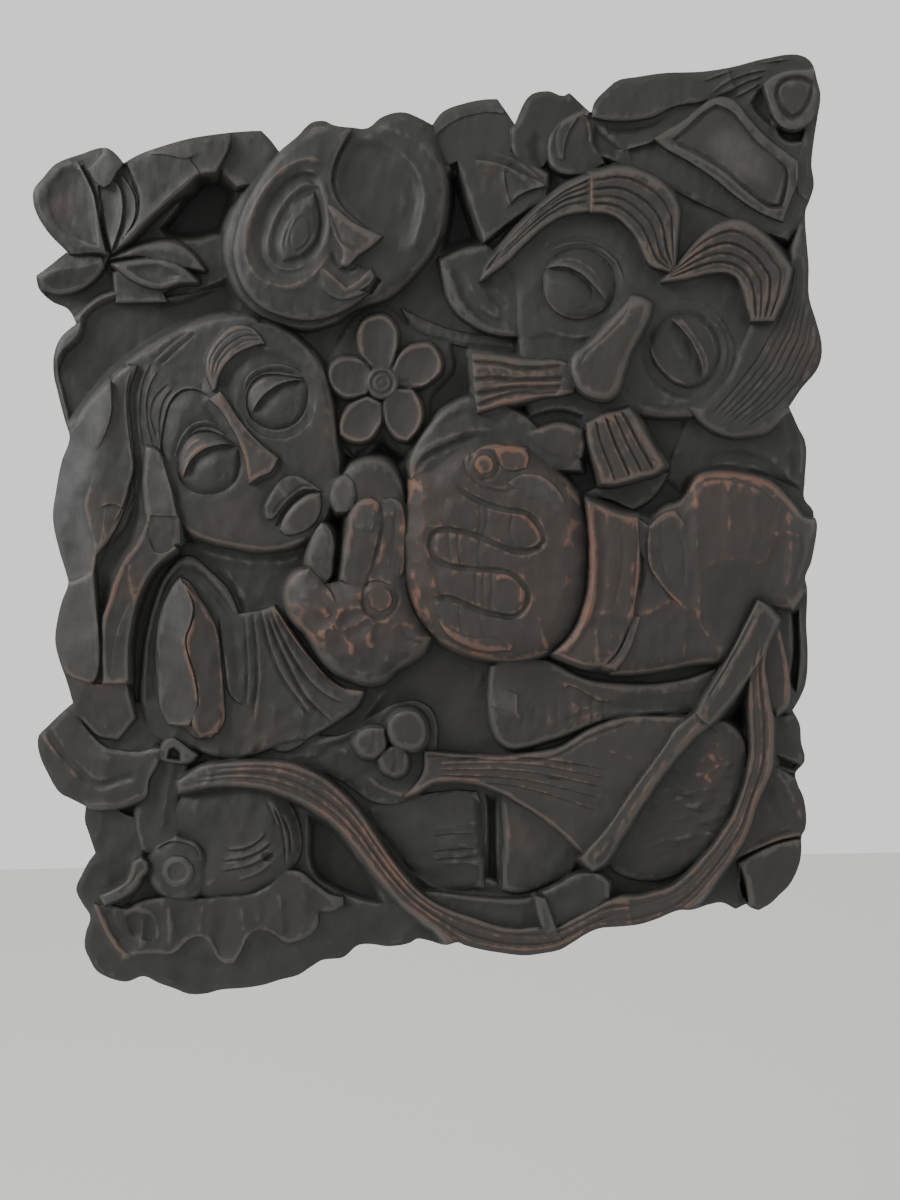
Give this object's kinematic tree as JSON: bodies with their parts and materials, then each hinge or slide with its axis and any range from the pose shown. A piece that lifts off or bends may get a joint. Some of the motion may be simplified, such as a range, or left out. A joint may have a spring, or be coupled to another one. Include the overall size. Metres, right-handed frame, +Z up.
{
  "type": "carved wood relief",
  "caption": "Wall relief cut from one thick block of dark stained wood, with faces, hands, a flower, leaves and a stringed instrument in high relief over a flat back.",
  "frame": {"origin": "middle of the flat back, on the wall plane", "axes": "+Y into the wall, out of the flat back; the carved front faces -Y; +X to the right seen from the front; +Z up"},
  "size_m": [0.4427, 0.059, 0.5245],
  "materials": {
    "stained_wood": "dark brown-black stain, hand rubbed, satin, worn to red-brown on the raised edges"
  },
  "bodies": {
    "root": {"carved_panel": "stained_wood"}
  },
  "joints": []
}
